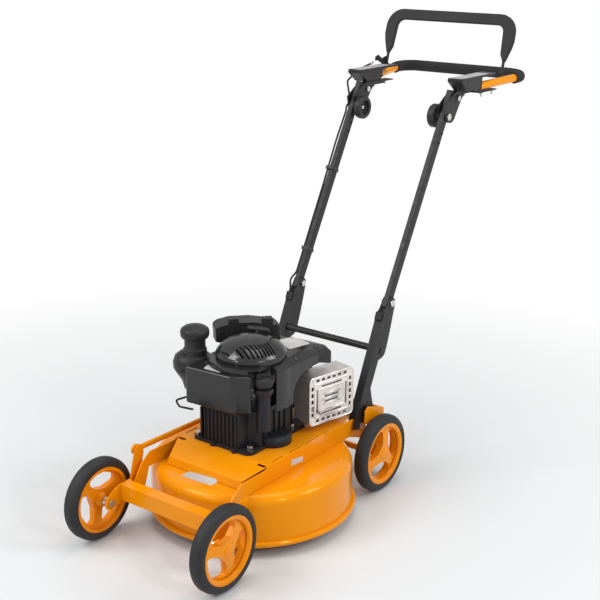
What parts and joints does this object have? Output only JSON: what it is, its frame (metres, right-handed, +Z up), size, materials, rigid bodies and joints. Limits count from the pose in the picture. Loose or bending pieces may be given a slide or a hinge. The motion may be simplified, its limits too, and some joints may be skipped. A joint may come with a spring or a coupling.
{
  "type": "walk-behind rotary lawn mower",
  "caption": "Petrol rotary lawn mower with an orange round deck, black folding handle, linked height adjustment, recoil-start engine and a brake bail.",
  "frame": {"origin": "on the ground plane the wheels stand on, directly below the crankshaft", "axes": "+Z up, -Y the way the mower travels, +X towards the mower's left side as its user sees it"},
  "size_m": [0.512, 1.4105, 1.1577],
  "materials": {
    "orange_paint": "gloss orange enamel",
    "frame_paint": "semi-gloss black powder coat",
    "zinc_plate": "bright zinc plate",
    "tread_rubber": "black rubber tread",
    "rim_plastic": "orange moulded plastic",
    "grip_foam": "black closed-cell foam",
    "panel_plastic": "fine-grained black plastic",
    "shroud_plastic": "satin black plastic",
    "cast_alloy": "cast alloy, dark coated",
    "guard_silver": "embossed bright aluminium sheet",
    "dark_steel": "dark oiled steel",
    "cable_jacket": "black cable jacket"
  },
  "bodies": {
    "chassis": {"air_filter_base": "panel_plastic", "blower_shroud": "shroud_plastic", "cable_bracket": "zinc_plate", "cable_lower": "cable_jacket", "carburettor": "cast_alloy", "chassis_plate": "orange_paint", "crankcase": "cast_alloy", "cross_tube": "frame_paint", "cylinder_block": "cast_alloy", "deck_shell": "orange_paint", "filler_neck": "shroud_plastic", "frame_bolts": "zinc_plate", "fuel_tank": "shroud_plastic", "handle_channel_left": "frame_paint", "handle_channel_right": "frame_paint", "muffler_body": "dark_steel", "muffler_guard": "guard_silver", "rear_guard": "orange_paint", "rear_pivot_shaft": "zinc_plate", "recoil_cover": "shroud_plastic", "side_frame_left": "orange_paint", "side_frame_right": "orange_paint", "spark_plug": "cable_jacket"},
    "front_axle": {"front_axle_beam": "orange_paint", "front_axle_arm": "orange_paint", "front_wheel_bolts": "zinc_plate"},
    "rear_axle": {"rear_axle_beam": "orange_paint", "rear_axle_arm": "orange_paint", "rear_wheel_bolts": "zinc_plate"},
    "link": {"link_rod": "orange_paint"},
    "upper_handle": {"upper_tube_left": "frame_paint", "upper_tube_right": "frame_paint", "cable_upper": "cable_jacket"},
    "head": {"head_brackets": "frame_paint", "handlebar": "orange_paint", "grip_sleeve": "grip_foam", "control_panels": "panel_plastic", "head_bolts": "zinc_plate", "cable_head": "cable_jacket"},
    "knob_left": {"adjust_knob_left": "panel_plastic"},
    "knob_right": {"adjust_knob_right": "panel_plastic"},
    "bail": {"bail_rod": "frame_paint", "bail_cover": "panel_plastic"},
    "crank": {"crankshaft": "dark_steel", "flywheel": "cast_alloy", "blade": "dark_steel", "blade_boss": "dark_steel", "blade_bolt": "zinc_plate"},
    "pull_grip": {"starter_grip": "panel_plastic"},
    "tank_cap": {"fuel_cap": "panel_plastic"},
    "oil_dipstick": {"dipstick": "panel_plastic"},
    "filter_cover": {"air_filter_cover": "panel_plastic"},
    "wheel_front_left": {"tyre_front_left": "tread_rubber", "rim_front_left": "rim_plastic"},
    "wheel_front_right": {"tyre_front_right": "tread_rubber", "rim_front_right": "rim_plastic"},
    "wheel_rear_left": {"tyre_rear_left": "tread_rubber", "rim_rear_left": "rim_plastic"},
    "wheel_rear_right": {"tyre_rear_right": "tread_rubber", "rim_rear_right": "rim_plastic"}
  },
  "joints": [
    {"name": "rear_axle_swing", "type": "hinge", "parent": "chassis", "child": "rear_axle", "pos_m": [0, 0.358, 0.09], "axis": [1, 0, 0], "range_deg": [0, 32]},
    {"name": "front_axle_swing", "type": "hinge", "parent": "chassis", "child": "front_axle", "pos_m": [0, -0.258, 0.104], "axis": [1, 0, 0], "range_deg": [0, 32]},
    {"name": "link_pivot", "type": "hinge", "parent": "front_axle", "child": "link", "pos_m": [-0.1665, -0.232, 0.195], "axis": [1, 0, 0], "range_deg": [-32, 0]},
    {"name": "wheel_front_left_spin", "type": "hinge", "parent": "front_axle", "child": "wheel_front_left", "pos_m": [0.192, -0.334, 0.1], "axis": [1, 0, 0], "continuous": true},
    {"name": "wheel_front_right_spin", "type": "hinge", "parent": "front_axle", "child": "wheel_front_right", "pos_m": [-0.192, -0.334, 0.1], "axis": [1, 0, 0], "continuous": true},
    {"name": "wheel_rear_left_spin", "type": "hinge", "parent": "rear_axle", "child": "wheel_rear_left", "pos_m": [0.192, 0.282, 0.1], "axis": [1, 0, 0], "continuous": true},
    {"name": "wheel_rear_right_spin", "type": "hinge", "parent": "rear_axle", "child": "wheel_rear_right", "pos_m": [-0.192, 0.282, 0.1], "axis": [1, 0, 0], "continuous": true},
    {"name": "handle_fold", "type": "hinge", "parent": "chassis", "child": "upper_handle", "pos_m": [0, 0.3804, 0.4666], "axis": [1, 0, 0], "range_deg": [0, 110]},
    {"name": "head_tilt", "type": "hinge", "parent": "upper_handle", "child": "head", "pos_m": [0, 0.6264, 0.9116], "axis": [1, 0, 0], "range_deg": [-25, 8]},
    {"name": "knob_left_turn", "type": "hinge", "parent": "upper_handle", "child": "knob_left", "pos_m": [0.1304, 0.6264, 0.9116], "axis": [1, 0, 0], "range_deg": [-180, 180]},
    {"name": "knob_right_turn", "type": "hinge", "parent": "upper_handle", "child": "knob_right", "pos_m": [-0.1304, 0.6264, 0.9116], "axis": [1, 0, 0], "range_deg": [-180, 180]},
    {"name": "bail_squeeze", "type": "hinge", "parent": "head", "child": "bail", "pos_m": [0, 0.849, 1.005], "axis": [1, 0, 0], "range_deg": [-68, 0], "stiffness_Nm_per_rad": 1.4, "springref_deg": 57.3},
    {"name": "crank_spin", "type": "hinge", "parent": "chassis", "child": "crank", "pos_m": [0, 0, 0.2], "axis": [0, 0, 1], "continuous": true},
    {"name": "starter_pull", "type": "slide", "parent": "chassis", "child": "pull_grip", "axis": [0, 0.5, 0.866], "range_m": [0, 0.45], "stiffness_N_per_m": 12, "springref_m": -0.4},
    {"name": "tank_cap_turn", "type": "hinge", "parent": "chassis", "child": "tank_cap", "pos_m": [-0.144, -0.04, 0.43], "axis": [0, 0, 1], "range_deg": [0, 90]},
    {"name": "dipstick_turn", "type": "hinge", "parent": "chassis", "child": "oil_dipstick", "pos_m": [0.08, -0.054, 0.375], "axis": [0, 0, 1], "range_deg": [0, 180]},
    {"name": "filter_cover_lift", "type": "slide", "parent": "chassis", "child": "filter_cover", "axis": [0, 0, 1], "range_m": [0, 0.03]}
  ],
  "couplings": [
    {"joint": "front_axle_swing", "follows": "rear_axle_swing", "ratio": 1},
    {"joint": "link_pivot", "follows": "rear_axle_swing", "ratio": -1}
  ]
}
